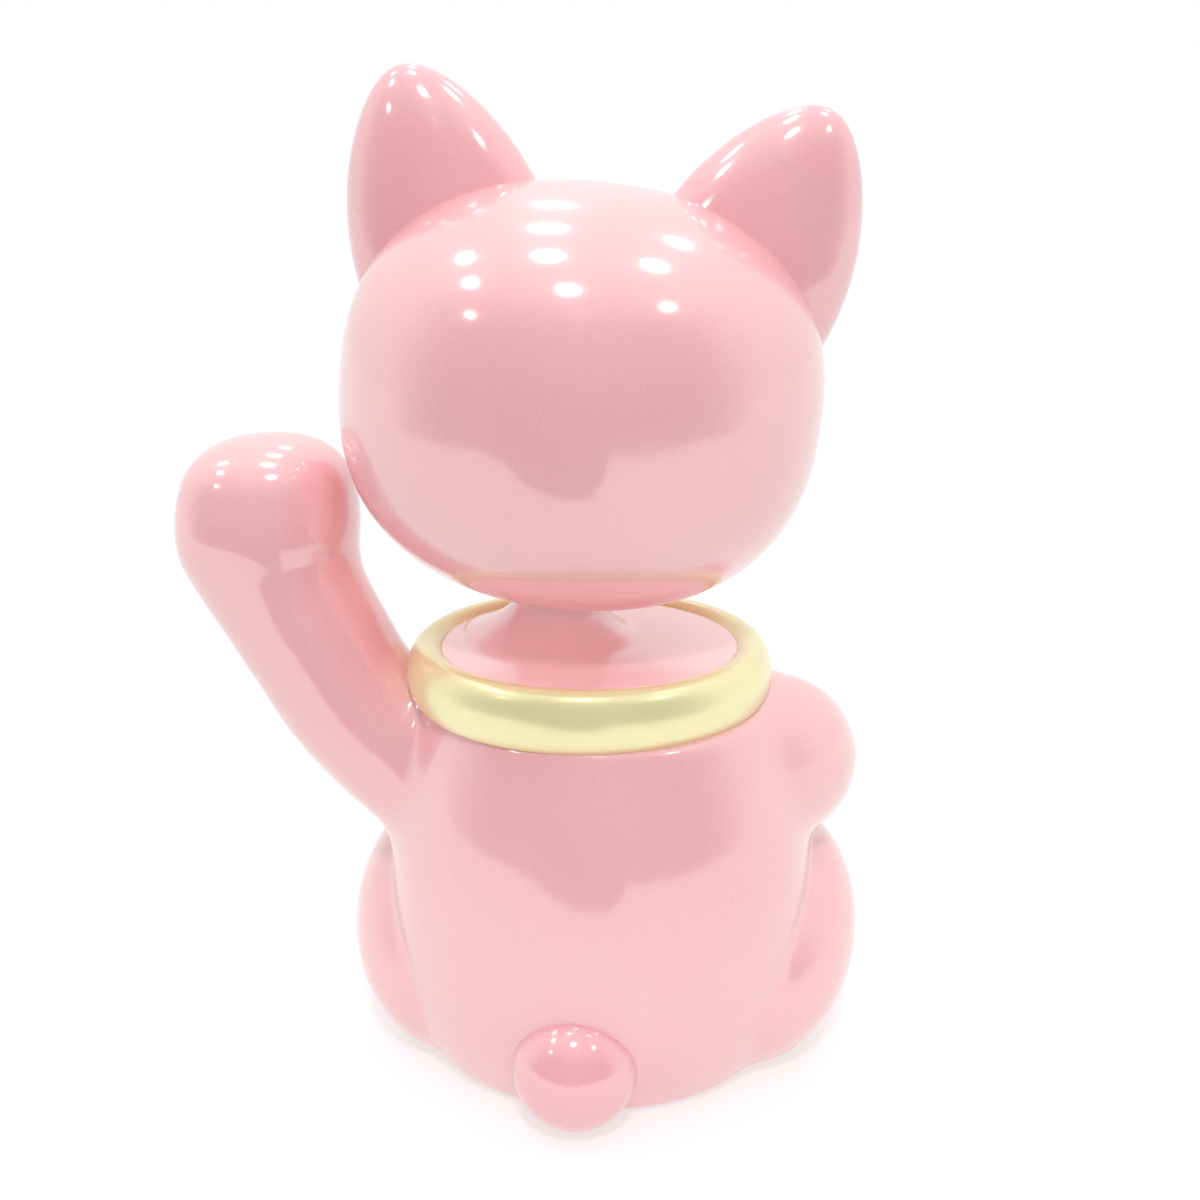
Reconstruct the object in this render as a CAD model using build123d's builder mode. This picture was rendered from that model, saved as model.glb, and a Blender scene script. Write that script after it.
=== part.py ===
"""Beckoning cat figurine: a hollow vinyl cat that sits with its left paw raised.

Units are millimetres. +Z is up and the cat faces -Y, so its own left is +X. The origin is at the
middle of the base, on the axis of the collar. The head turns on a spigot that leans with the head.
"""
import os
from math import cos, pi, radians, sin

from build123d import *

os.makedirs("parts", exist_ok=True)

# ---- driving dimensions ----
WALL = 2.8                      # thickness of every hollow casting
SEAM = 0.15                     # gap left at a seam between two castings
FAR = 400.0                     # wider than the whole figure, for trimming

HEAD_LEAN = 5.5                 # degrees, towards the cat's right
HEAD_CENTRE = (3.0, -8.0, 196.9)
HEAD_RADIUS = 68.6              # half the width of the head
HEAD_RISE = 59.0                # half the height of the head along its own axis
HEAD_FULLNESS = 2.4             # 2 is an ellipse; more fills out the cheeks and flattens the crown

PLATFORM_Z = 125.2              # flat top of the shoulders, inside the collar
PLATFORM_RADIUS = 41.0
LEDGE_Z = 109.0                 # step that the collar stands on
BASE_RADIUS = 52.0
BODY_SHIFT = -3.5               # the seat of the body is a little to the cat's right of the collar

COLLAR_RADIUS = 47.2            # middle of the ring's section
COLLAR_HALF_WIDTH = 6.0
COLLAR_HALF_HEIGHT = 9.4
COLLAR_Z = 117.5

NECK_RADIUS = 13.5
NECK_FLARE = 27.0               # the neck spreads to this radius where it meets the platform
NECK_HEIGHT = 14.0              # from the flare up to the seat of the head
NECK_ROOT = 28.0                # depth of the spigot below the seat of the head
GROOVE_RADIUS = 10.5            # the head's hole runs in this groove
BEAD_RADIUS = 12.2              # and this bead keeps the head on
BEAD_FLANK = 0.6                # rise of the sloping face under the bead
BEAD_HEIGHT = 2.2
SPIGOT_NOSE = 3.0               # tapered top, which leads the head's hole over the bead
NECK_BORE = 7.0
SEAT_GAP = 0.4                  # play along the neck, below and above the head's wall
RUNNING_GAP = 0.06              # radial play of the head on its spigot

EAR_ACROSS = 44.0               # root of an ear, in the head's own directions
EAR_FORWARD = 11.0
EAR_ALONG = 42.5
EAR_FLARE = 21.5                # degrees from the head's axis to the axis of an ear
EAR_DEPTH_RATIO = 0.66          # thickness of an ear over its width
EAR_OUTLINE = [(29.5, -16), (28.5, 1), (26, 12.5), (22.8, 21.5), (18, 30.5), (12, 38.5), (6.5, 43), (2, 45)]
EAR_PLUG_RADIUS = 12.0          # across its width; the depth ratio keeps it from turning
EAR_PLUG_DEPTH = 8.0
LIP = 1.3                       # how far a plug's lip stands out behind the wall that it grips

TAIL_RADIUS = 17.6
TAIL_CENTRE = (-1.5, 55.4, 17.9)
TAIL_PLUG_RADIUS = 6.0
TAIL_PLUG_DEPTH = 8.0

BELL_RADIUS = 9.5
BELL_CENTRE = (0.0, -63.5, 110.0)
BELL_SLOT = 2.0
BELL_PEG_RADIUS = 2.5
BELL_PEG_Z = 113.5

# Limbs are rounded forms through round stations: x, y, z and radius of each.
RAISED_ARM = [(36, 4, 74, 19), (45, 2, 82, 21.5), (56, 0, 91, 22), (71, -2, 105.5, 21.7),
              (82, -4, 122.5, 22), (89, -6, 134, 22.6), (94.5, -8, 145, 24.6), (97, -9, 155, 26.4),
              (97.3, -10, 165, 25.4), (97, -10.5, 173, 21.2), (96.5, -11, 179, 14), (96.5, -11, 181.6, 7)]
LOWERED_ARM = [(-38, 0, 94, 20), (-48, -4, 90, 24), (-54, -14, 86, 25), (-55, -28, 80, 22.5),
               (-48, -42, 73, 19), (-38, -53, 68, 17), (-29, -60, 65, 14), (-25, -63, 64, 8)]
RAISED_PAW = dict(centre=(92, -20, 161), length=23, radius=17, turn=(-0.25, -0.97, -0.05))
HAUNCH = dict(centre=(44.5, -11, 32), length=47, radius=33, toe_out=4, rise=24)
FOOT = dict(centre=(44, -60, 14), length=27, radius=15.5, toe_out=8, rise=0)


# ---- shared forms ----
def lean_vector():
    """Direction of the neck and the head's axis."""
    return Vector(-sin(radians(HEAD_LEAN)), 0, cos(radians(HEAD_LEAN)))


def head_point(across, forward, along):
    """A point given in the head's own directions, measured from its centre."""
    lean = radians(HEAD_LEAN)
    sideways = Vector(cos(lean), 0, sin(lean))
    return Vector(*HEAD_CENTRE) + sideways * across + Vector(0, -forward, 0) + lean_vector() * along


def head_section_plane():
    """Plane through the head's axis: x across the head, y up its axis."""
    lean = radians(HEAD_LEAN)
    return Plane(origin=head_point(0, 0, 0), x_dir=(cos(lean), 0, sin(lean)), z_dir=(0, -1, 0))


def spheroid(plane, half_length, radius):
    """A solid of revolution about the plane's x direction, rounded like an egg."""
    with BuildPart() as form:
        with BuildSketch(plane):
            with BuildLine():
                EllipticalCenterArc((0, 0), half_length, radius, start_angle=0, arc_size=180)
                Line((-half_length, 0), (half_length, 0))
            make_face()
        revolve(axis=Axis(plane.origin, plane.x_dir))
    return form.part


def limb(stations, inset):
    """A limb lofted through round sections that stand square to its line."""
    points = [Vector(*s[:3]) for s in stations]
    with BuildPart() as form:
        for i, station in enumerate(stations):
            before = points[max(i - 1, 0)]
            after = points[min(i + 1, len(points) - 1)]
            with BuildSketch(Plane(origin=points[i], z_dir=after - before)):
                Circle(max(station[3] - inset, 1.5))
        loft()
    return form.part


def torso(inset):
    """The seated trunk up to the ledge under the collar."""
    with BuildPart() as form:
        with BuildSketch(Plane.XZ):
            with BuildLine():
                Line((0, inset), (BASE_RADIUS - 4, inset))
                Spline((BASE_RADIUS - 4, inset), (BASE_RADIUS + 5.5 - inset, 14), (62 - inset, 38),
                       (62.2 - inset, 62), (58.3 - inset, 87), (51.5 - inset, LEDGE_Z - inset),
                       tangents=[(1, 0.25), (-0.25, 1)])
                Line((51.5 - inset, LEDGE_Z - inset), (0, LEDGE_Z - inset))
                Line((0, LEDGE_Z - inset), (0, inset))
            make_face()
        revolve(axis=Axis.Z)
    return Pos(BODY_SHIFT, 0, 0) * form.part


def paired(spec, inset):
    """The two matching forms, one each side, that turn out and rise a little towards the front."""
    x, y, z = spec["centre"]
    turn = radians(spec["toe_out"])
    rise = radians(spec["rise"])
    forms = []
    for side in (1, -1):
        ahead = Vector(side * sin(turn), -cos(turn) * cos(rise), sin(rise))
        plane = Plane(origin=(side * x + BODY_SHIFT, y, z), x_dir=ahead, z_dir=ahead.cross(Vector(1, 0, 0)))
        forms.append(spheroid(plane, spec["length"] - inset, spec["radius"] - inset))
    return forms


def body_form(inset):
    """Everything that the body casting has below the collar, drawn in by a distance."""
    paw = Plane(origin=RAISED_PAW["centre"], x_dir=RAISED_PAW["turn"], z_dir=(0.97, -0.25, 0))
    with BuildPart() as form:
        add(torso(inset))
        for piece in paired(HAUNCH, inset) + paired(FOOT, inset):
            add(piece)
        add(spheroid(paw, RAISED_PAW["length"] - inset, RAISED_PAW["radius"] - inset))
        add(limb(RAISED_ARM, inset))
        add(limb(LOWERED_ARM, inset))
        with Locations((0, 0, inset)):
            Box(FAR, FAR, FAR, align=(Align.CENTER, Align.CENTER, Align.MIN), mode=Mode.INTERSECT)
    return form.part


def superellipse(angle, inset):
    """A point (radius, height) of the head's section, at an angle above its widest line."""
    power = 2 / HEAD_FULLNESS
    return ((HEAD_RADIUS - inset) * max(cos(angle), 0) ** power, (HEAD_RISE - inset) * sin(angle) ** power)


def head_form(inset):
    """The head as a solid, drawn in or (with a negative inset) let out by a distance."""
    with BuildPart() as form:
        with BuildSketch(head_section_plane()):
            with BuildLine():
                quarter = [superellipse(i * pi / 18, inset) for i in range(10)]
                side = [(r, -z) for r, z in reversed(quarter[1:])] + quarter
                Spline(*side, tangents=[(1, 0), (-1, 0)])
                Line(side[-1], side[0])
            make_face()
        revolve(axis=Axis(head_point(0, 0, 0), lean_vector()))
    return form.part


def ear_plane(side):
    """Plane at an ear's root: x across the ear, z along it to the tip. Side is 1 for the cat's left."""
    flare = radians(EAR_FLARE * side - HEAD_LEAN)
    root = head_point(EAR_ACROSS * side, EAR_FORWARD, EAR_ALONG)
    return Plane(origin=root, x_dir=(cos(flare), 0, -sin(flare)), z_dir=(sin(flare), 0, cos(flare)))


def ear_cone(side, inset):
    """The ear as a solid: a rounded cone, thinner from front to back than it is wide."""
    with BuildPart() as cone:
        for radius, height in EAR_OUTLINE:
            with BuildSketch(Plane.XY.offset(height - inset * height / EAR_OUTLINE[-1][1])):
                Ellipse(max(radius - inset, 1), max(radius * EAR_DEPTH_RATIO - inset, 0.8))
        loft()
    return ear_plane(side).location * cone.part


def ear_plug(side, radius, low, high):
    """An oval peg along the ear's axis, between two heights above its root."""
    with BuildPart() as peg:
        with BuildSketch(Plane.XY.offset(low)):
            Ellipse(radius, radius * EAR_DEPTH_RATIO)
        extrude(amount=high - low)
    return ear_plane(side).location * peg.part


def ball(centre, radius):
    """A ball at a place."""
    return Pos(*centre) * Sphere(radius, mode=Mode.PRIVATE)


# ---- body shell: trunk, arms, haunches, feet, platform and neck spigot in one casting ----
seat = -HEAD_RISE               # lowest point of the head along its axis
head_axis = Axis(head_point(0, 0, 0), lean_vector())
body_outside = body_form(0)
body_inside = body_form(WALL)
bead_z = seat + WALL + SEAT_GAP + BEAD_FLANK
flare_middle = (NECK_RADIUS + 0.22 * (NECK_FLARE - NECK_RADIUS), seat - 0.62 * NECK_HEIGHT)
tail_cup = ball(TAIL_CENTRE, TAIL_RADIUS + SEAM + WALL) & body_outside

with BuildPart() as body_shell:
    add(body_outside)
    with BuildSketch(Plane.XY.offset(LEDGE_Z - WALL)):
        Circle(PLATFORM_RADIUS)
    extrude(amount=PLATFORM_Z - LEDGE_Z + WALL)
    with BuildSketch(head_section_plane()):
        with BuildLine():
            Polyline((0, seat), (0, seat - NECK_ROOT), (NECK_FLARE, seat - NECK_ROOT),
                     (NECK_FLARE, seat - NECK_HEIGHT))
            ThreePointArc((NECK_FLARE, seat - NECK_HEIGHT), flare_middle, (NECK_RADIUS, seat - 2 * SEAT_GAP))
            Polyline((NECK_RADIUS, seat - 2 * SEAT_GAP), (NECK_RADIUS, seat - SEAT_GAP),
                     (GROOVE_RADIUS, seat - SEAT_GAP), (GROOVE_RADIUS, bead_z - BEAD_FLANK),
                     (BEAD_RADIUS, bead_z), (BEAD_RADIUS, bead_z + BEAD_HEIGHT),
                     (GROOVE_RADIUS - 1, bead_z + BEAD_HEIGHT + SPIGOT_NOSE),
                     (0, bead_z + BEAD_HEIGHT + SPIGOT_NOSE), (0, seat))
        make_face()
    revolve(axis=head_axis)
    add(body_inside, mode=Mode.SUBTRACT)
    with BuildSketch(Plane.XY.offset(PLATFORM_Z - WALL)):
        Circle(PLATFORM_RADIUS - WALL)
    extrude(amount=LEDGE_Z - PLATFORM_Z, mode=Mode.SUBTRACT)
    with BuildSketch(Plane(origin=head_point(0, 0, seat - 1.2 * NECK_ROOT), z_dir=lean_vector())):
        Circle(NECK_BORE)
    extrude(amount=2 * NECK_ROOT, mode=Mode.SUBTRACT)
    with BuildSketch(Plane.XZ):
        with Locations((COLLAR_RADIUS, COLLAR_Z)):
            Ellipse(COLLAR_HALF_WIDTH + SEAM, COLLAR_HALF_HEIGHT + SEAM)
        with Locations((0, LEDGE_Z)):
            Rectangle(FAR, FAR, align=(Align.CENTER, Align.MAX), mode=Mode.SUBTRACT)
    revolve(axis=Axis.Z, mode=Mode.SUBTRACT)
    add(tail_cup)
    add(ball(TAIL_CENTRE, TAIL_RADIUS + SEAM), mode=Mode.SUBTRACT)
    with BuildSketch(Plane(origin=TAIL_CENTRE, z_dir=(0, -1, 0))):
        Circle(TAIL_PLUG_RADIUS + SEAM)
    extrude(amount=TAIL_RADIUS + TAIL_PLUG_DEPTH, mode=Mode.SUBTRACT)
body_shell.part.label = "body_shell"
export_step(body_shell.part, "parts/body_shell.step")

# ---- collar ----
with BuildPart() as collar:
    with BuildSketch(Plane.XZ):
        with Locations((COLLAR_RADIUS, COLLAR_Z)):
            Ellipse(COLLAR_HALF_WIDTH, COLLAR_HALF_HEIGHT)
        with Locations((0, LEDGE_Z + SEAM)):
            Rectangle(FAR, FAR, align=(Align.CENTER, Align.MAX), mode=Mode.SUBTRACT)
    revolve(axis=Axis.Z)
    with BuildSketch(Plane(origin=(0, -COLLAR_RADIUS, BELL_PEG_Z), z_dir=(0, -1, 0))):
        Circle(BELL_PEG_RADIUS + SEAM)
    extrude(amount=COLLAR_HALF_WIDTH + 5, mode=Mode.SUBTRACT)
collar.part.label = "collar"
export_step(collar.part, "parts/collar.step")

# ---- bell: a moulded ball with a rib round its middle and a slot below ----
with BuildPart() as bell:
    add(ball(BELL_CENTRE, BELL_RADIUS))
    with BuildSketch(Plane.XY.offset(BELL_CENTRE[2])):
        with Locations(BELL_CENTRE[:2]):
            Circle(BELL_RADIUS + 0.9)
    extrude(amount=0.9, both=True)
    with BuildSketch(Plane.XY.offset(BELL_CENTRE[2] - BELL_RADIUS)):
        with Locations(BELL_CENTRE[:2]):
            Rectangle(3 * BELL_RADIUS, BELL_SLOT)
    extrude(amount=BELL_RADIUS * 0.62, mode=Mode.SUBTRACT)
    with BuildSketch(Plane(origin=(0, BELL_CENTRE[1] + 4, BELL_PEG_Z), z_dir=(0, 1, 0))):
        Circle(BELL_PEG_RADIUS)
    extrude(amount=-BELL_CENTRE[1] - 4 - COLLAR_RADIUS - SEAM)
bell.part.label = "bell"
export_step(bell.part, "parts/bell.step")

# ---- tail: a hollow ball that plugs into the back of the body ----
cup_inside = TAIL_RADIUS + SEAM + WALL
with BuildPart() as tail:
    add(ball(TAIL_CENTRE, TAIL_RADIUS))
    with BuildSketch(Plane(origin=TAIL_CENTRE, z_dir=(0, -1, 0))):
        Circle(TAIL_PLUG_RADIUS)
    extrude(amount=TAIL_RADIUS + TAIL_PLUG_DEPTH)
    with BuildSketch(Plane(origin=TAIL_CENTRE, z_dir=(0, -1, 0)).offset(cup_inside + SEAM)):
        Circle(TAIL_PLUG_RADIUS + LIP)
    extrude(amount=TAIL_RADIUS + TAIL_PLUG_DEPTH - cup_inside - SEAM)
    add(ball(TAIL_CENTRE, TAIL_RADIUS - WALL), mode=Mode.SUBTRACT)
    with BuildSketch(Plane(origin=TAIL_CENTRE, z_dir=(0, -1, 0))):
        Circle(TAIL_PLUG_RADIUS - 2)
    extrude(amount=TAIL_RADIUS + TAIL_PLUG_DEPTH, mode=Mode.SUBTRACT)
tail.part.label = "tail"
export_step(tail.part, "parts/tail.step")

# ---- head shell ----
head_outside = head_form(0)
head_inside = head_form(WALL)
sockets = [ear_plug(side, EAR_PLUG_RADIUS + SEAM, -EAR_PLUG_DEPTH, 20) for side in (1, -1)]

with BuildPart() as head_shell:
    add(head_outside)
    add(head_inside, mode=Mode.SUBTRACT)
    with BuildSketch(Plane(origin=head_point(0, 0, seat - 5), z_dir=lean_vector())):
        Circle(GROOVE_RADIUS + RUNNING_GAP)
    extrude(amount=5 + 2 * WALL, mode=Mode.SUBTRACT)
    add(sockets, mode=Mode.SUBTRACT)
head_shell.part.label = "head_shell"
export_step(head_shell.part, "parts/head_shell.step")

# ---- ears: hollow cones, each with an oval plug that snaps into the head ----
head_let_out = head_form(-SEAM)
head_ear_floor = head_form(-SEAM - WALL)
head_behind_wall = head_form(WALL + SEAM)
for side, name in ((1, "left_ear"), (-1, "right_ear")):
    cone = ear_cone(side, 0)
    hollow = ear_cone(side, WALL) - head_ear_floor
    peg = ear_plug(side, EAR_PLUG_RADIUS, -EAR_PLUG_DEPTH, 6)
    lip = ear_plug(side, EAR_PLUG_RADIUS + LIP, -EAR_PLUG_DEPTH, 20) & head_behind_wall
    peg_bore = ear_plug(side, EAR_PLUG_RADIUS - WALL, -EAR_PLUG_DEPTH - 1, 12)
    with BuildPart() as ear:
        add(cone)
        add(head_let_out, mode=Mode.SUBTRACT)
        add(peg)
        add(lip)
        add(hollow, mode=Mode.SUBTRACT)
        add(peg_bore, mode=Mode.SUBTRACT)
    ear.part.label = name
    export_step(ear.part, f"parts/{name}.step")
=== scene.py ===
"""Looks for the beckoning cat figurine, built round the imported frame.

Shapes are worked out in millimetres in the row frame (+Z up, the cat faces -Y) and scaled to metres
when a mesh is made.
"""

from math import cos, pi, radians, sin

import bpy
import numpy as np
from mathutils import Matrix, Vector


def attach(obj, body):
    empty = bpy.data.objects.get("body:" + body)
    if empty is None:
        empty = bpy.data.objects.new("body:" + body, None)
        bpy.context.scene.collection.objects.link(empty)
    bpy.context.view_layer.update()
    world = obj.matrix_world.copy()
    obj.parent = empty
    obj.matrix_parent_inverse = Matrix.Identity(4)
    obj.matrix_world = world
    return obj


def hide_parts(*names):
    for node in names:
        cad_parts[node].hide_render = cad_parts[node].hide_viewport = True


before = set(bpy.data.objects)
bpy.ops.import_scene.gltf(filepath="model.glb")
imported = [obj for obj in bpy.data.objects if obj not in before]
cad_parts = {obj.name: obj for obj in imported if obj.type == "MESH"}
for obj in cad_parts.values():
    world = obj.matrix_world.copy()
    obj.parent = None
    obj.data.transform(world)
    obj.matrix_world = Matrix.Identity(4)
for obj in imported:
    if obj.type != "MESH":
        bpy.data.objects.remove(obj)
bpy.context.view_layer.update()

MM = 0.001
LEAN = radians(5.5)
HEAD_CENTRE = np.array([3.0, -8.0, 196.9])
HEAD_RADIUS, HEAD_RISE, HEAD_FULLNESS = 68.6, 59.0, 2.4
COLLAR_RADIUS, COLLAR_HALF_WIDTH, COLLAR_HALF_HEIGHT, COLLAR_Z = 47.2, 6.0, 9.4, 117.5
COLLAR_SEAT_Z = 109.15
PLATFORM_RADIUS, PLATFORM_Z = 41.0, 125.2
BODY_SHIFT = -3.5
TAIL_CENTRE, TAIL_RADIUS = np.array([-1.5, 55.4, 17.9]), 17.6


# ---- camera ----
def set_camera():
    """The photograph's viewpoint: behind the cat, a little above it, on a long lens."""
    elevation, swing, distance = radians(16.8), radians(5.5), 0.550
    to_camera = Vector((-sin(swing) * cos(elevation), cos(swing) * cos(elevation), sin(elevation)))
    right = Vector((-cos(swing), -sin(swing), 0))
    target = Vector((0, 0, 0.1379)) + right * 0.0031
    data = bpy.data.cameras.new("camera")
    data.sensor_width = 36
    data.lens = 56.9
    data.clip_start = 0.01
    data.clip_end = 50
    camera = bpy.data.objects.new("camera", data)
    bpy.context.scene.collection.objects.link(camera)
    camera.location = target + to_camera * distance
    camera.rotation_mode = "QUATERNION"
    camera.rotation_quaternion = to_camera.to_track_quat("Z", "Y")
    bpy.context.scene.camera = camera


set_camera()


# ---- meshes ----
def add_mesh(name, points, faces, material, body, normals=None, crease=None):
    """A smooth-shaded piece that rides on a CAD body. Normals, where given, are one per point."""
    mesh = bpy.data.meshes.new(name)
    mesh.from_pydata((np.asarray(points) * MM).tolist(), [], [list(map(int, f)) for f in faces])
    mesh.polygons.foreach_set("use_smooth", [True] * len(mesh.polygons))
    if crease is not None:
        mesh.set_sharp_from_angle(angle=radians(crease))
    if normals is not None:
        mesh.normals_split_custom_set_from_vertices(np.asarray(normals).tolist())
    mesh.materials.append(material)
    piece = bpy.data.objects.new(name, mesh)
    bpy.context.scene.collection.objects.link(piece)
    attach(piece, body)
    return piece


def grid_faces(rows, columns, wrap=False):
    """Quads of a grid of points stored row by row."""
    faces = []
    for i in range(rows - 1):
        for j in range(columns if wrap else columns - 1):
            a, b = i * columns + j, i * columns + (j + 1) % columns
            faces.append((a, b, b + columns, a + columns))
    return faces


def lathe(profile, segments=192):
    """Points and faces of a profile of (radius, height) turned round the z axis, ends closed if on it."""
    angles = np.linspace(0, 2 * pi, segments, endpoint=False)
    points = np.array([(r * cos(a), r * sin(a), z) for r, z in profile for a in angles])
    return points, grid_faces(len(profile), segments, wrap=True)


def to_head(points):
    """From the head's own directions (across, back, along) to the row frame."""
    p = np.asarray(points, float)
    across = np.array([cos(LEAN), 0, sin(LEAN)])
    along = np.array([-sin(LEAN), 0, cos(LEAN)])
    return HEAD_CENTRE + p[:, :1] * across + p[:, 1:2] * np.array([0, 1, 0]) + p[:, 2:3] * along


# ---- smooth solid forms, as distance fields ----
def join(a, b, k):
    """The smaller of two distances, with a soft fillet about k wide where they meet."""
    h = np.maximum(k - np.abs(a - b), 0) / k
    return np.minimum(a, b) - h * h * h * k / 6


def cut(a, b, k):
    """The part of a that lies inside b, with its edge rounded."""
    return -join(-a, -b, k)


TORSO_Z = np.array([0.0, 14.0, 38.0, 62.0, 87.0, 109.0])
TORSO_R = np.array([49.5, 57.6, 62.0, 62.2, 58.3, 51.6])
TORSO_FIT = np.polyfit(TORSO_Z, TORSO_R, 5)
TORSO_SLOPE = np.polyder(TORSO_FIT)


def torso(p):
    """The seated trunk."""
    z = np.clip(p[:, 2], -3, 113)
    slope = np.polyval(TORSO_SLOPE, z)
    side = np.hypot(p[:, 0] - BODY_SHIFT, p[:, 1]) - np.polyval(TORSO_FIT, z)
    return cut(side / np.sqrt(1 + slope * slope), p[:, 2] - 111.0, 7)


def egg(p, centre, ahead, half_length, radius):
    """An egg-shaped form whose long axis points ahead."""
    q = p - np.array(centre, float)
    axis = np.array(ahead, float) / np.linalg.norm(ahead)
    t = q @ axis
    side = np.sqrt(np.maximum((q * q).sum(1) - t * t, 0))
    near = np.sqrt((t / half_length) ** 2 + (side / radius) ** 2) + 1e-9
    steep = np.sqrt((t / half_length ** 2) ** 2 + (side / radius ** 2) ** 2) + 1e-9
    return near * (near - 1) / steep


def pillow(p, centre, halves, power):
    """A rounded block, fuller at its corners than an ellipsoid."""
    q = np.abs(p - np.array(centre, float)) / np.array(halves, float) + 1e-6
    near = (q ** power).sum(1) ** (1 / power)
    gradient = (q ** (power - 1) / np.array(halves, float)) * (near ** (1 - power))[:, None]
    return (near - 1) / np.linalg.norm(gradient, axis=1)


def smooth_line(stations, count):
    """Points and radii on a smooth curve through the stations of a limb."""
    s = np.array(stations, float)
    s = np.vstack([2 * s[0] - s[1], s, 2 * s[-1] - s[-2]])
    made = []
    for t in np.linspace(0, len(stations) - 1, count):
        i = min(int(t), len(stations) - 2)
        u = t - i
        a, b, c, d = s[i:i + 4]
        made.append(0.5 * (2 * b + (c - a) * u + (2 * a - 5 * b + 4 * c - d) * u * u
                           + (3 * b - a - 3 * c + d) * u ** 3))
    return np.array(made)


def limb(p, line):
    """The envelope of balls along a limb's line."""
    out = np.full(len(p), 1e3)
    margin = line[:, 3].max() + 30
    low = line[:, :3].min(0) - margin
    high = line[:, :3].max(0) + margin
    near = np.where(((p > low) & (p < high)).all(1))[0]
    for part in np.array_split(near, max(1, len(near) // 60000)):
        q = p[part]
        d = np.sqrt(((q[:, None, :] - line[None, :, :3]) ** 2).sum(2)) - line[None, :, 3]
        k = np.clip(d.argmin(1), 1, len(line) - 2)
        r = np.arange(len(q))
        a, b, c = d[r, k - 1], d[r, k], d[r, k + 1]
        bend = np.maximum(a - 2 * b + c, 1e-9)
        t = np.clip(0.5 * (a - c) / bend, -1, 1)
        out[part] = b - 0.5 * (a - c) * t + 0.5 * bend * t * t
    return out


HAUNCH = dict(centre=(44.5, -11, 32), half_length=47, radius=33, toe_out=4, rise=24, fillet=4)
FOOT = dict(centre=(44, -60, 14), half_length=27, radius=15.5, toe_out=8, rise=0, fillet=7)
BASE_EDGE = 4
RAISED_ARM = smooth_line([(30, 5, 70, 17), (40, 3, 79, 20), (56, 0, 91, 21.6), (71, -2, 105.5, 21.4),
                          (82, -4, 122.5, 21.8), (89, -6, 134, 22.6), (94.5, -8, 145, 24.4),
                          (96.8, -9, 153, 26.0)], 70)
LOWERED_ARM = smooth_line([(-34, 4, 92, 17), (-42, 0, 92, 21.5), (-49, -5, 90, 24), (-54, -15, 86, 25),
                           (-55, -28, 80, 22.6), (-48, -42, 73, 19.2), (-38, -53, 68, 17),
                           (-30, -60, 65, 15.4)], 60)


def body_field(p):
    """Everything in the body casting below the collar."""
    f = torso(p)
    for side in (1, -1):
        for form in (HAUNCH, FOOT):
            x, y, z = form["centre"]
            turn, rise = radians(form["toe_out"]), radians(form["rise"])
            ahead = (side * sin(turn), -cos(turn) * cos(rise), sin(rise))
            rounded = egg(p, (side * x + BODY_SHIFT, y, z), ahead, form["half_length"], form["radius"])
            f = join(f, rounded, form["fillet"])
    arm = limb(p, RAISED_ARM)
    arm = join(arm, pillow(p, (96.9, -11, 158.0), (25.3, 24.0, 23.6), 2.6), 8)
    arm = join(arm, egg(p, (92, -20, 161), (-0.25, -0.97, -0.05), 22.5, 17), 10)
    f = join(f, arm, 13)
    f = join(f, limb(p, LOWERED_ARM), 9)
    return cut(f, -p[:, 2], BASE_EDGE)


NECK_RADIUS, NECK_FLARE, NECK_HEIGHT, SPIGOT_RADIUS = 13.5, 13.5, 13.2, 10.4


def platform_field(p):
    """The flat shoulder inside the collar, and the neck that leans out of it."""
    drum = cut(np.hypot(p[:, 0], p[:, 1]) - PLATFORM_RADIUS - 2.4, p[:, 2] - PLATFORM_Z, 1.8)
    q = p - HEAD_CENTRE
    axis = np.array([-sin(LEAN), 0, cos(LEAN)])
    along = q @ axis
    across = np.sqrt(np.maximum((q * q).sum(1) - along * along, 0))
    flare = NECK_FLARE * np.clip((-HEAD_RISE - 0.8 - along) / NECK_HEIGHT, 0, 1) ** 2.2
    neck = cut((across - NECK_RADIUS - flare) * 0.8, along + HEAD_RISE + 0.4, 1.2)
    spigot = cut(across - SPIGOT_RADIUS, along + HEAD_RISE - 9, 1.2)
    return cut(join(join(drum, neck, 5), spigot, 1), 108 - p[:, 2], 2)


def slope_of(field, p, step=0.25):
    """Unit gradient of a field, and its length."""
    g = np.empty_like(p)
    for i in range(3):
        d = np.zeros(3)
        d[i] = step
        g[:, i] = (field(p + d) - field(p - d)) / (2 * step)
    size = np.linalg.norm(g, axis=1)[:, None] + 1e-9
    return g / size, size[:, 0]


def settle(field, p, rounds=3):
    """Moves points onto the surface where the field is zero."""
    for _ in range(rounds):
        normal, size = slope_of(field, p)
        p = p - normal * np.clip(field(p) / size, -2, 2)[:, None]
    return p


CORNERS = [(i, j, k) for i in (0, 1) for j in (0, 1) for k in (0, 1)]
EDGES = [(a, b) for a in range(8) for b in range(a + 1, 8)
         if sum(abs(np.array(CORNERS[a]) - np.array(CORNERS[b]))) == 1]


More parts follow.
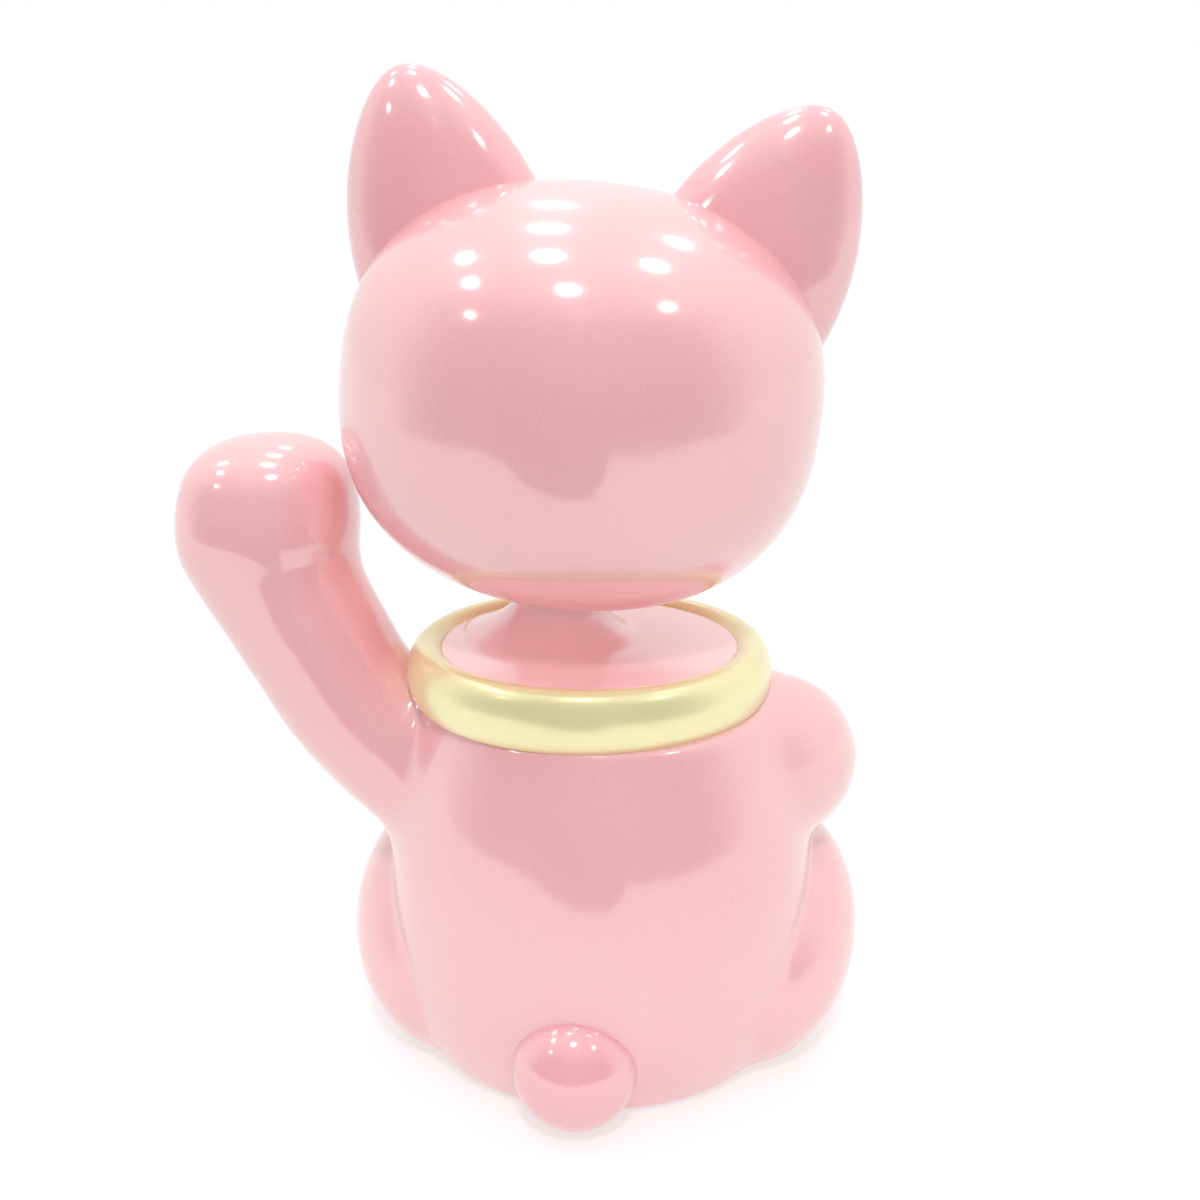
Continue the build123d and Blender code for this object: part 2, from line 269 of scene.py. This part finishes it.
def skin(field, low, high, step):
    """A closed quad mesh of the surface where a field is zero: (points, faces, normals)."""
    axes = [np.arange(low[i], high[i] + step, step) for i in range(3)]
    shape = tuple(len(a) for a in axes)
    values = np.empty(shape)
    yy, zz = np.meshgrid(axes[1], axes[2], indexing="ij")
    for i, x in enumerate(axes[0]):
        p = np.stack([np.full(yy.size, x), yy.ravel(), zz.ravel()], 1)
        values[i] = field(p).reshape(yy.shape)
    inside = values < 0
    cells = tuple(n - 1 for n in shape)
    count = np.zeros(cells, int)
    for i, j, k in CORNERS:
        count += inside[i:i + cells[0], j:j + cells[1], k:k + cells[2]]
    active = np.argwhere((count > 0) & (count < 8))
    index = np.full(cells, -1)
    index[tuple(active.T)] = np.arange(len(active))
    corner = np.stack([values[tuple((active + c).T)] for c in CORNERS], 1)
    total, hits = np.zeros((len(active), 3)), np.zeros(len(active))
    for a, b in EDGES:
        va, vb = corner[:, a], corner[:, b]
        crossed = (va < 0) != (vb < 0)
        t = np.where(crossed, va / np.where(crossed, va - vb, 1), 0)[:, None]
        at = np.array(CORNERS[a]) * (1 - t) + np.array(CORNERS[b]) * t
        total += at * crossed[:, None]
        hits += crossed
    points = (active + total / hits[:, None]) * step + np.array([a[0] for a in axes])
    faces = []
    for axis in range(3):
        u, v = [(1, 2), (2, 0), (0, 1)][axis]
        ahead = [slice(None)] * 3
        back = [slice(None)] * 3
        ahead[axis], back[axis] = slice(1, None), slice(None, -1)
        crossing = np.argwhere(inside[tuple(back)] != inside[tuple(ahead)])
        for e in (u, v):
            crossing = crossing[(crossing[:, e] > 0) & (crossing[:, e] < cells[e])]
        du, dv = np.zeros(3, int), np.zeros(3, int)
        du[u], dv[v] = 1, 1
        ring = [crossing - du - dv, crossing - dv, crossing, crossing - du]
        quads = np.stack([index[tuple(c.T)] for c in ring], 1)
        outward = inside[tuple(crossing.T)]
        quads[~outward] = quads[~outward][:, ::-1]
        faces.append(quads)
    faces = np.vstack(faces)
    for _ in range(5):
        near, hits = np.zeros_like(points), np.zeros(len(points))
        for a, b in ((0, 1), (1, 2), (2, 3), (3, 0)):
            np.add.at(near, faces[:, a], points[faces[:, b]])
            np.add.at(hits, faces[:, a], 1)
            np.add.at(near, faces[:, b], points[faces[:, a]])
            np.add.at(hits, faces[:, b], 1)
        points = settle(field, 0.4 * points + 0.6 * near / hits[:, None], 1)
    points = settle(field, points, 2)
    return points, faces, slope_of(field, points)[0]


# ---- materials ----
def new_material(name):
    """A node material with its shader and a texture position, both ready to use."""
    material = bpy.data.materials.new(name)
    material.use_nodes = True
    nodes, links = material.node_tree.nodes, material.node_tree.links
    return material, nodes, links, nodes["Principled BSDF"], nodes.new("ShaderNodeTexCoord").outputs["Object"]


def noise(nodes, links, at, scale, detail=2.0):
    """Output of a noise texture at a position."""
    node = nodes.new("ShaderNodeTexNoise")
    node.inputs["Scale"].default_value = scale
    node.inputs["Detail"].default_value = detail
    links.new(at, node.inputs["Vector"])
    return node.outputs["Fac"]


def ramp(nodes, links, source, stops):
    """Colour ramp over a value."""
    node = nodes.new("ShaderNodeValToRGB")
    elements = node.color_ramp.elements
    while len(elements) < len(stops):
        elements.new(0.5)
    for element, (place, colour) in zip(elements, stops):
        element.position = place
        element.color = (*colour, 1)
    links.new(source, node.inputs["Fac"])
    return node.outputs["Color"]


def spread(nodes, links, source, low, high):
    """A value mapped from 0..1 to a range."""
    node = nodes.new("ShaderNodeMapRange")
    node.inputs["To Min"].default_value = low
    node.inputs["To Max"].default_value = high
    links.new(source, node.inputs["Value"])
    return node.outputs["Result"]


def bump(nodes, links, shader, source, distance, strength=1.0):
    """Fine relief on a shader."""
    node = nodes.new("ShaderNodeBump")
    node.inputs["Distance"].default_value = distance
    node.inputs["Strength"].default_value = strength
    links.new(source, node.inputs["Height"])
    links.new(node.outputs["Normal"], shader.inputs["Normal"])


def lacquer(name, tint, deep):
    """Pearl lacquer over vinyl: fine flakes, cloudy sprayed colour and a wet, slightly rippled coat."""
    material, nodes, links, shader, at = new_material(name)
    cloud = noise(nodes, links, at, 14, 3)
    colour = ramp(nodes, links, cloud, [(0.30, deep), (0.62, tint)])
    flake = nodes.new("ShaderNodeTexVoronoi")
    flake.inputs["Scale"].default_value = 2600
    links.new(at, flake.inputs["Vector"])
    spark = nodes.new("ShaderNodeSeparateColor")
    links.new(flake.outputs["Color"], spark.inputs["Color"])
    glint = ramp(nodes, links, spark.outputs["Red"], [(0.0, (0.965,) * 3), (1.0, (1.03,) * 3)])
    mix = nodes.new("ShaderNodeMix")
    mix.data_type = "RGBA"
    mix.blend_type = "MULTIPLY"
    mix.inputs["Factor"].default_value = 1.0
    links.new(colour, mix.inputs["A"])
    links.new(glint, mix.inputs["B"])
    links.new(mix.outputs["Result"], shader.inputs["Base Color"])
    links.new(spread(nodes, links, noise(nodes, links, at, 60, 4), 0.26, 0.36), shader.inputs["Roughness"])
    shader.inputs["Metallic"].default_value = 0.0
    shader.inputs["IOR"].default_value = 1.6
    shader.inputs["Coat Weight"].default_value = 0.9
    shader.inputs["Coat Roughness"].default_value = 0.12
    shader.inputs["Coat IOR"].default_value = 2.3
    bump(nodes, links, shader, noise(nodes, links, at, 220, 2), 0.00003, 0.5)
    return material


def gold(name):
    """Pale gold lacquer with fine metallic flakes."""
    material, nodes, links, shader, at = new_material(name)
    cloud = noise(nodes, links, at, 40, 4)
    colour = ramp(nodes, links, cloud, [(0.3, (0.90, 0.84, 0.46)), (0.7, (0.94, 0.89, 0.51))])
    links.new(colour, shader.inputs["Base Color"])
    shader.inputs["Metallic"].default_value = 0.45
    links.new(spread(nodes, links, noise(nodes, links, at, 90, 2), 0.27, 0.31), shader.inputs["Roughness"])
    shader.inputs["Coat Weight"].default_value = 0.5
    shader.inputs["Coat Roughness"].default_value = 0.06
    bump(nodes, links, shader, noise(nodes, links, at, 1500, 1), 0.000004, 0.2)
    return material


def paint(name, colour, roughness=0.22):
    """Brushed-on paint, a touch uneven in tone and thickness."""
    material, nodes, links, shader, at = new_material(name)
    dark = tuple(0.82 * c for c in colour)
    links.new(ramp(nodes, links, noise(nodes, links, at, 160, 3), [(0.3, dark), (0.7, colour)]),
              shader.inputs["Base Color"])
    links.new(spread(nodes, links, noise(nodes, links, at, 400, 3), roughness, roughness + 0.12),
              shader.inputs["Roughness"])
    shader.inputs["Coat Weight"].default_value = 0.6
    shader.inputs["Coat Roughness"].default_value = 0.05
    bump(nodes, links, shader, noise(nodes, links, at, 500, 2), 0.00003, 0.6)
    return material


PINK, PINK_DEEP = (0.895, 0.455, 0.465), (0.88, 0.425, 0.44)
body_lacquer = lacquer("body_lacquer", PINK, PINK_DEEP)
head_lacquer = lacquer("head_lacquer", PINK, PINK_DEEP)
ear_lacquer = lacquer("ear_lacquer", (0.88, 0.435, 0.455), (0.865, 0.40, 0.425))
# The shoulder platform and neck get a lighter, paler pink than the body: painted light that offsets the shade
# under the head.
shoulder_lacquer_painted_light = lacquer("shoulder_lacquer_painted_light", (0.885, 0.55, 0.55), (0.87, 0.525, 0.525))
tail_lacquer = lacquer("tail_lacquer", (0.87, 0.40, 0.43), (0.855, 0.36, 0.395))
gold_lacquer = gold("gold_lacquer")
bell_gold = gold("bell_gold")
black_paint = paint("black_paint", (0.012, 0.010, 0.011))
white_paint = paint("white_paint", (0.86, 0.85, 0.82))
gold_paint = paint("gold_paint", (0.78, 0.55, 0.16))
rose_paint = paint("rose_paint", (0.70, 0.12, 0.15))
blush_paint = paint("blush_paint", (0.86, 0.30, 0.34), 0.28)


# ---- body ----
BODY_STEP, PLATFORM_STEP = 1.7, 1.1
points, faces, normals = skin(body_field, (-100, -95, -4), (130, 68, 188), BODY_STEP)
body_skin = add_mesh("body_skin", points, faces, body_lacquer, "body", normals)
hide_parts("body_shell")

# Shoulder platform and neck, in the lighter pink that paints light into the shade under the head.
points, faces, normals = skin(platform_field, (-46, -46, 104), (48, 46, 150), PLATFORM_STEP)
shoulder = add_mesh("shoulder_platform", points, faces, shoulder_lacquer_painted_light, "body", normals)

# ---- collar ----
section = [(COLLAR_RADIUS + COLLAR_HALF_WIDTH * cos(a), COLLAR_Z + COLLAR_HALF_HEIGHT * sin(a))
           for a in np.linspace(-pi, pi, 72)]
section = [(r, max(z, COLLAR_SEAT_Z)) for r, z in section]
points, faces = lathe(section, 256)
collar_ring = add_mesh("collar_ring", points, faces, gold_lacquer, "body", crease=50)
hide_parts("collar")

# ---- tail ----
ball = [(TAIL_RADIUS * sin(a), -TAIL_RADIUS * cos(a)) for a in np.linspace(0, pi, 80)]
points, faces = lathe(ball, 128)
points = points[:, [0, 2, 1]] * (1, -1, 1)
tail_ball = add_mesh("tail_ball", points + TAIL_CENTRE, faces, tail_lacquer, "body",
                     points / TAIL_RADIUS)
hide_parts("tail")


# ---- head ----
def head_radius_at(along):
    """Radius of the head's section at a height along its axis."""
    share = np.clip(np.abs(along) / HEAD_RISE, 0, 1) ** HEAD_FULLNESS
    return HEAD_RADIUS * (1 - share) ** (1 / HEAD_FULLNESS)


def head_normal(local):
    """Outward normal of the head's form at points in its own directions."""
    p = np.asarray(local, float)
    rho = np.hypot(p[:, 0], p[:, 1]) + 1e-9
    n = HEAD_FULLNESS
    side = (rho / HEAD_RADIUS) ** (n - 1) / HEAD_RADIUS
    up = np.sign(p[:, 2]) * (np.abs(p[:, 2]) / HEAD_RISE) ** (n - 1) / HEAD_RISE
    g = np.stack([p[:, 0] / rho * side, p[:, 1] / rho * side, up], 1)
    return g / (np.linalg.norm(g, axis=1)[:, None] + 1e-12)


NECK_HOLE = 10.56
steps = np.linspace(-pi / 2, pi / 2, 181)
profile = [(HEAD_RADIUS * max(cos(a), 0) ** (2 / HEAD_FULLNESS),
            HEAD_RISE * np.sign(sin(a)) * abs(sin(a)) ** (2 / HEAD_FULLNESS)) for a in steps]
profile = [(r, z) for r, z in profile if z > 0 or r > NECK_HOLE + 0.3]
lowest = -HEAD_RISE * (1 - (NECK_HOLE / HEAD_RADIUS) ** HEAD_FULLNESS) ** (1 / HEAD_FULLNESS)
profile = [(NECK_HOLE, lowest + 2.8), (NECK_HOLE, lowest + 0.25), (NECK_HOLE + 0.25, lowest)] + profile
profile[-1] = (0.02, HEAD_RISE)
points, faces = lathe(profile, 256)
head_skin = add_mesh("head_skin", to_head(points), faces, head_lacquer, "head", crease=50)
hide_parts("head_shell")

# ---- ears ----
EAR_ROOT = (44.0, -11.0, 42.5)
EAR_FLARE = radians(21.5)
EAR_DEPTH = 0.66
EAR_OUTLINE = [(29.5, -16), (28.5, 1), (26, 12.5), (22.8, 21.5), (18, 30.5), (12, 38.5), (6.5, 43), (2, 45)]


EAR_TIP = 45.2
ear_share = np.sqrt(1 - np.array([h for _, h in EAR_OUTLINE]) / EAR_TIP)
EAR_FIT = np.polyfit(ear_share, np.array([r for r, _ in EAR_OUTLINE]) / ear_share, 3)


def ear_width(height):
    """Half the width of an ear at a height above its root: smooth, and round at the tip."""
    share = np.sqrt(np.maximum(1 - height / EAR_TIP, 0))
    return share * np.polyval(EAR_FIT, share)


def ear_points(side, angle, height):
    """Points on an ear in the row frame; angle 270 degrees is its front."""
    width = ear_width(height)
    x = width * np.cos(angle)
    y = width * EAR_DEPTH * np.sin(angle)
    hollow = np.exp(-((x / (0.52 * np.maximum(width, 4))) ** 2) - ((height - 14) / 17) ** 2)
    y = y + np.where(y < 0, 0.34, 0.0) * hollow * width * EAR_DEPTH
    flare = EAR_FLARE * side
    root = np.array([EAR_ROOT[0] * side, EAR_ROOT[1], EAR_ROOT[2]])
    local = root + np.stack([x * cos(flare) + height * sin(flare), y,
                             -x * sin(flare) + height * cos(flare)], -1).reshape(-1, 3)
    return to_head(local)


for side, name in ((1, "left_ear"), (-1, "right_ear")):
    heights = EAR_TIP * (1 - np.linspace(1.16, 0.0, 110) ** 2)
    angles = np.linspace(0, 2 * pi, 160, endpoint=False)
    hh, aa = np.meshgrid(heights, angles, indexing="ij")
    points = ear_points(side, aa.ravel(), hh.ravel())
    faces = grid_faces(len(heights), len(angles), wrap=True)
    ear = add_mesh(name + "_skin", points, faces, ear_lacquer, "head")
    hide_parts(name)

# ---- painted details: thin films that follow the surface under them ----
def head_front(x, z, offset):
    """Points just off the front of the head, from places across and up its face."""
    local = np.stack([x, -np.sqrt(np.maximum(head_radius_at(z) ** 2 - x * x, 0)), z], 1)
    return to_head(local + head_normal(local) * offset)


def disc(outline, offset, place, rings=10):
    """A filled film inside a closed outline on a surface."""
    outline = np.asarray(outline, float)
    middle = outline.mean(0)
    shares = np.linspace(0.001, 1, rings)
    flat = np.vstack([middle + (outline - middle) * s for s in shares])
    return place(flat[:, 0], flat[:, 1], offset), grid_faces(rings, len(outline), wrap=True)


def ring(x, z, across, up, power=2.0, count=64):
    """A rounded outline about a place; power above 2 is squarer."""
    a = np.linspace(0, 2 * pi, count, endpoint=False)
    return np.stack([x + across * np.sign(np.cos(a)) * np.abs(np.cos(a)) ** (2 / power),
                     z + up * np.sign(np.sin(a)) * np.abs(np.sin(a)) ** (2 / power)], 1)


def stroke_line(marks, count):
    """Evenly counted points on a smooth line through a few marks."""
    wide = [tuple(m) + (0,) * (4 - len(m)) for m in marks]
    return smooth_line(wide, count)[:, :len(marks[0])]


def stroke(marks, width, offset, place, count=40):
    """A brush stroke on the face, thin at both ends."""
    line = stroke_line(marks, count)
    along = np.gradient(line, axis=0)
    side = np.stack([-along[:, 1], along[:, 0]], 1) / np.linalg.norm(along, axis=1)[:, None]
    swell = np.sqrt(np.sin(np.linspace(0.04, 0.96, count) * pi))[:, None]
    flat = np.stack([line + side * swell * width / 2 * s for s in (-1, -0.5, 0, 0.5, 1)], 1).reshape(-1, 2)
    return place(flat[:, 0], flat[:, 1], offset), grid_faces(count, 5)


def body_stroke(marks, width, offset=0.14, count=30):
    """A brush stroke on the body, laid on its surface near a few marks."""
    line = settle(body_field, stroke_line(marks, count), 4)
    normal = slope_of(body_field, line)[0]
    along = np.gradient(line, axis=0)
    side = np.cross(normal, along)
    side /= np.linalg.norm(side, axis=1)[:, None]
    swell = np.sqrt(np.sin(np.linspace(0.04, 0.96, count) * pi))[:, None]
    sheet = np.stack([line + side * swell * width / 2 * s for s in (-1, -0.5, 0, 0.5, 1)], 1).reshape(-1, 3)
    sheet = settle(body_field, sheet, 3)
    return sheet + slope_of(body_field, sheet)[0] * offset, grid_faces(count, 5)


def film(name, made, material, body="head"):
    """A painted film on the surface under it."""
    add_mesh(name, made[0], made[1], material, body)


for side, name in ((1, "left"), (-1, "right")):
    x = 25.0 * side
    film(f"{name}_eye_rim", disc(ring(x, 3, 11.6, 12.6, 2.15), 0.10, head_front), black_paint)
    film(f"{name}_eye_white", disc(ring(x, 2.8, 10.4, 11.3, 2.15), 0.18, head_front), white_paint)
    film(f"{name}_iris", disc(ring(x - 1.0 * side, 3, 7.6, 9.4), 0.26, head_front), gold_paint)
    film(f"{name}_pupil", disc(ring(x - 1.0 * side, 3, 3.9, 7.6), 0.34, head_front), black_paint)
    film(f"{name}_glint", disc(ring(x + 1.4, 7.0, 1.9, 2.2), 0.42, head_front, 5), white_paint)
    film(f"{name}_brow", stroke([(x - 7, 20.5), (x, 22.8), (x + 7, 20.5)], 2.0, 0.12, head_front), black_paint)
    film(f"{name}_mouth", stroke([(0, -17.2), (4.2 * side, -21.4), (9.4 * side, -20.6), (12.6 * side, -16.6)],
                                 1.7, 0.12, head_front), rose_paint)
    film(f"{name}_cheek", disc(ring(38 * side, -15, 7.6, 5.4), 0.08, head_front), blush_paint)
    for i, (z0, z1) in enumerate([(-7, -2.5), (-12.5, -12), (-18, -21)]):
        film(f"{name}_whisker_{i}", stroke([(47 * side, z0), (54 * side, z0 * 0.5 + z1 * 0.5 + 0.8),
                                            (61.5 * side, z1)], 1.3, 0.14, head_front), black_paint)
film("nose", disc(ring(0, -10.2, 5.4, 3.7, 2.6), 0.14, head_front), rose_paint)
film("lip_line", stroke([(0, -13.0), (0, -15.2), (0, -17.6)], 1.5, 0.16, head_front, 20), rose_paint)

for side, name in ((1, "left"), (-1, "right")):
    def inner_ear(x, z, offset, side=side):
        """Points just off the hollow front of an ear."""
        share = np.clip(x / np.maximum(ear_width(z), 0.5), -1, 1)
        angle = 2 * pi - np.arccos(share)
        here = ear_points(side, angle, z)
        ahead = ear_points(side, angle, z + 0.2) - here
        round_it = ear_points(side, angle + 0.01, z) - here
        normal = np.cross(round_it, ahead)
        normal /= np.linalg.norm(normal, axis=1)[:, None]
        normal *= np.where(normal[:, 1:2] > 0, -1, 1)
        return here + normal * offset

    a = np.linspace(0, 2 * pi, 64, endpoint=False)
    outline = np.stack([13.5 * np.cos(a) * (1 - 0.42 * np.sin(a)), 19.5 + 13.5 * np.sin(a)], 1)
    film(f"{name}_inner_ear", disc(outline, 0.12, inner_ear, 14), blush_paint, "head")

for side, name in ((1, "left"), (-1, "right")):
    for i, dx in enumerate((-5.2, 5.2)):
        cx = 44 * side + BODY_SHIFT + dx + 3.4 * side
        film(f"{name}_toe_{i}", body_stroke([(cx, -87, 9), (cx, -83, 18), (cx, -75, 26)], 1.6),
             black_paint, "body")
for i, dx in enumerate((-7, 7)):
    film(f"raised_finger_{i}", body_stroke([(95 + dx, -42, 163), (95 + dx, -38, 172), (95 + dx, -29, 180)], 1.7),
         black_paint, "body")
for i, shift in enumerate((-4.6, 4.6)):
    marks = [(-19 + shift * 0.66, -72 + shift * 0.75, 60), (-20 + shift * 0.66, -74 + shift * 0.75, 70),
             (-27 + shift * 0.66, -68 + shift * 0.75, 80)]
    film(f"lowered_finger_{i}", body_stroke(marks, 1.6), black_paint, "body")

# ---- bell: kept as the CAD node, with a better finish ----
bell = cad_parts["bell"]
bell.data.materials.clear()
bell.data.materials.append(bell_gold)


# ---- lights and setting ----
def area_light(name, place, size, power, target=(0, 0, 0.12)):
    """A soft light that faces a point."""
    data = bpy.data.lights.new(name, "AREA")
    data.shape = "DISK"
    data.size = size
    data.energy = power
    lamp = bpy.data.objects.new(name, data)
    bpy.context.scene.collection.objects.link(lamp)
    lamp.location = place
    lamp.rotation_mode = "QUATERNION"
    lamp.rotation_quaternion = (Vector(place) - Vector(target)).to_track_quat("Z", "Y")
    return lamp


CEILING = [(0.29, -1.85), (0.26, -0.76), (0.24, -0.04), (0.04, 0.71), (1.13, -0.34), (1.27, 0.28),
           (1.79, 1.11), (-0.71, -1.07), (-0.69, -0.20), (-1.28, 0.62)]
for i, (x, y) in enumerate(CEILING):
    area_light(f"ceiling_{i}", (x, y, 1.8), 0.27, 1.8, (x, y, 0))
key = area_light("key", (-0.12, 1.30, 1.66), 0.25, 14.0)
key.visible_glossy = False
fill = area_light("fill", (-0.25, 1.55, 0.75), 1.3, 5.3)
fill.visible_glossy = False
low_fill = area_light("low_fill", (0.25, -1.5, 0.6), 1.3, 3.0)
low_fill.visible_glossy = False
lift = area_light("shoulder_lift", (-0.1, 1.0, 1.1), 0.6, 7.5)
lift.visible_glossy = False
lifted = bpy.data.collections.new("lifted")
lifted.objects.link(shoulder)
lift.light_linking.receiver_collection = lifted
lift.light_linking.blocker_collection = lifted


def set_floor():
    """A pale floor that fades to plain white away from the object."""
    mesh = bpy.data.meshes.new("floor")
    edge = [(-4, -4), (4, -4), (4, -0.2), (1.23, 0.14), (0.98, 0.45), (0.59, 0.71), (0.30, 0.60), (0.18, 0.46),
            (0.04, 0.35), (-0.06, 0.34), (-0.16, 0.52), (-0.24, 0.72), (-0.38, 0.61), (-0.67, 0.39),
            (-0.84, 0.13), (-4, -0.2)]
    mesh.from_pydata([(x, y, 0) for x, y in edge], [], [range(len(edge))])
    floor = bpy.data.objects.new("floor", mesh)
    bpy.context.scene.collection.objects.link(floor)
    floor.location = (0, 0, -0.0003)
    material, nodes, links, shader, at = new_material("floor_paper")
    shader.inputs["Base Color"].default_value = (0.93, 0.93, 0.93, 1)
    shader.inputs["Roughness"].default_value = 0.6
    glow = nodes.new("ShaderNodeEmission")
    glow.inputs["Strength"].default_value = 1.05
    length = nodes.new("ShaderNodeVectorMath")
    length.operation = "LENGTH"
    links.new(at, length.inputs[0])
    fade = nodes.new("ShaderNodeMapRange")
    fade.interpolation_type = "SMOOTHSTEP"
    fade.inputs["From Min"].default_value = 0.08
    fade.inputs["From Max"].default_value = 0.30
    fade.inputs["To Min"].default_value = 0.55
    links.new(length.outputs["Value"], fade.inputs["Value"])
    mix = nodes.new("ShaderNodeMixShader")
    links.new(fade.outputs["Result"], mix.inputs["Fac"])
    links.new(shader.outputs["BSDF"], mix.inputs[1])
    links.new(glow.outputs["Emission"], mix.inputs[2])
    links.new(mix.outputs["Shader"], nodes["Material Output"].inputs["Surface"])
    mesh.materials.append(material)


def set_world():
    """Bright surroundings, darker towards the room behind the photographer."""
    world = bpy.data.worlds.new("surroundings")
    bpy.context.scene.world = world
    world.use_nodes = True
    nodes, links = world.node_tree.nodes, world.node_tree.links
    at = nodes.new("ShaderNodeTexCoord").outputs["Generated"]
    parts = nodes.new("ShaderNodeSeparateXYZ")
    links.new(at, parts.inputs["Vector"])
    toward = nodes.new("ShaderNodeMapRange")
    toward.interpolation_type = "SMOOTHSTEP"
    toward.inputs["From Min"].default_value = -0.2
    toward.inputs["From Max"].default_value = 0.55
    links.new(parts.outputs["Y"], toward.inputs["Value"])
    high = nodes.new("ShaderNodeMapRange")
    high.interpolation_type = "SMOOTHSTEP"
    high.inputs["From Min"].default_value = 0.55
    high.inputs["From Max"].default_value = 0.95
    links.new(parts.outputs["Z"], high.inputs["Value"])
    room = nodes.new("ShaderNodeMix")
    room.data_type = "RGBA"
    room.inputs["A"].default_value = (0.25, 0.24, 0.25, 1)
    room.inputs["B"].default_value = (0.72, 0.72, 0.72, 1)
    links.new(high.outputs["Result"], room.inputs["Factor"])
    around = nodes.new("ShaderNodeMix")
    around.data_type = "RGBA"
    around.inputs["A"].default_value = (0.95, 0.95, 0.95, 1)
    links.new(room.outputs["Result"], around.inputs["B"])
    links.new(toward.outputs["Result"], around.inputs["Factor"])
    seen = nodes.new("ShaderNodeLightPath")
    final = nodes.new("ShaderNodeMix")
    final.data_type = "RGBA"
    final.inputs["B"].default_value = (1.0, 1.0, 1.0, 1)
    links.new(seen.outputs["Is Camera Ray"], final.inputs["Factor"])
    links.new(around.outputs["Result"], final.inputs["A"])
    links.new(final.outputs["Result"], nodes["Background"].inputs["Color"])


set_floor()
set_world()
bpy.context.scene.view_settings.view_transform = "Standard"
